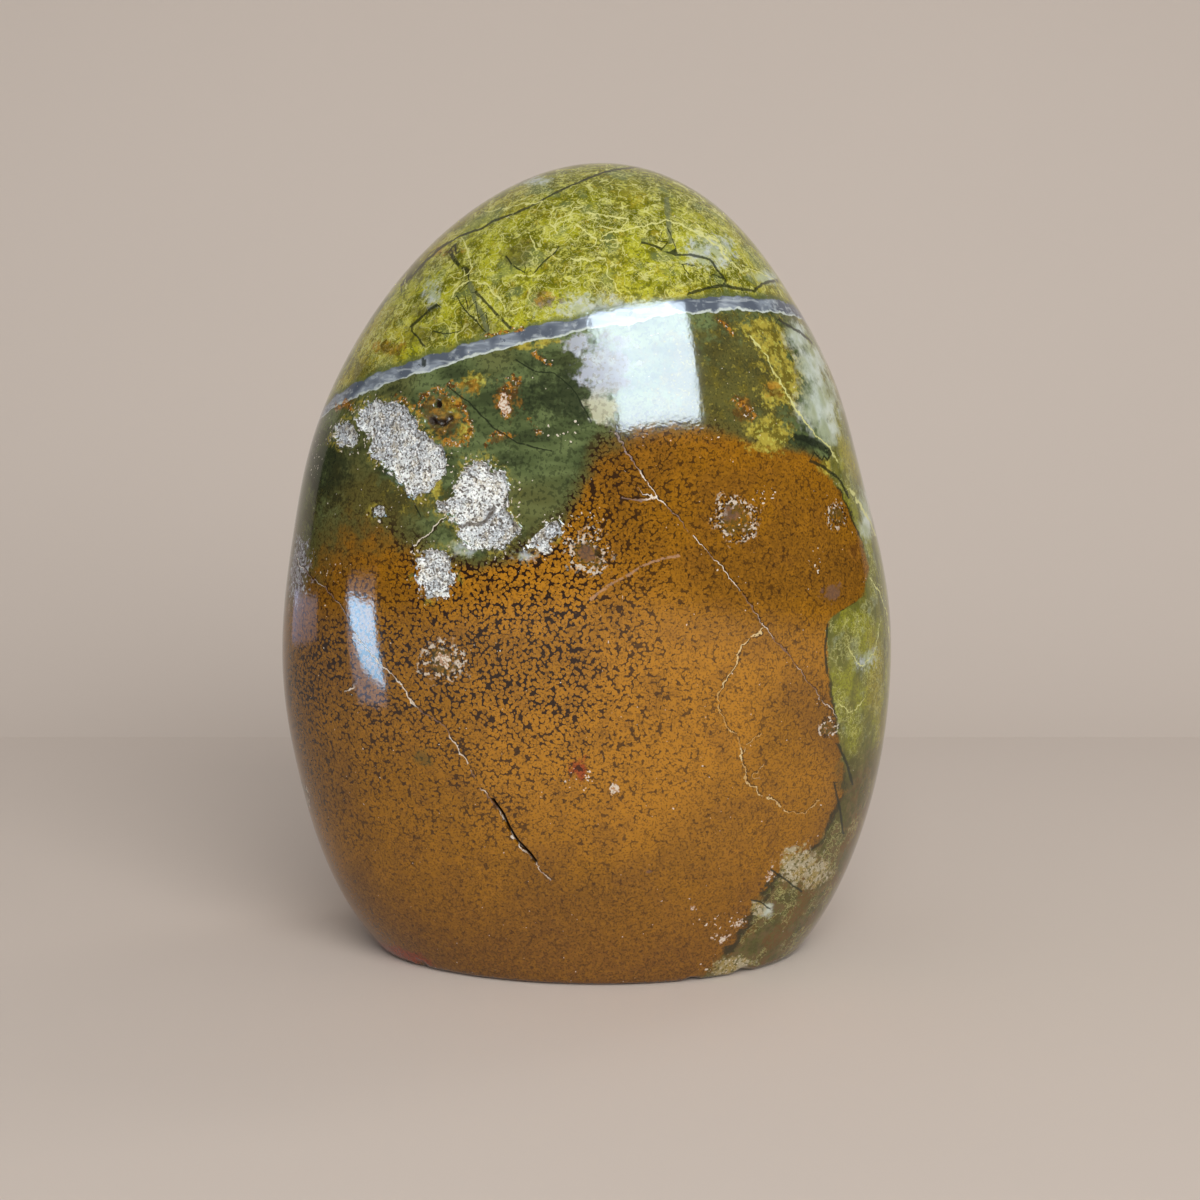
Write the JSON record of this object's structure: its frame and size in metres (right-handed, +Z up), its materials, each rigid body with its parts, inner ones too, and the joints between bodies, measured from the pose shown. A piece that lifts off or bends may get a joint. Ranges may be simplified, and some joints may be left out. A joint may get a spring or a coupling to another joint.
{
  "type": "green opal freeform",
  "caption": "Hand-ground and polished freeform of brown jasper and green opal, an upright rounded stone that stands on its flat cut foot.",
  "frame": {"origin": "on the surface the stone stands on, below the middle of its box, inside the flat foot", "axes": "+Z up along the stone's height, +X to the right of the best face, which looks along -Y"},
  "size_m": [0.1159, 0.0808, 0.1493],
  "materials": {
    "polished_opal": "polished"
  },
  "bodies": {
    "root": {"opal_freeform": "polished_opal"}
  },
  "joints": []
}
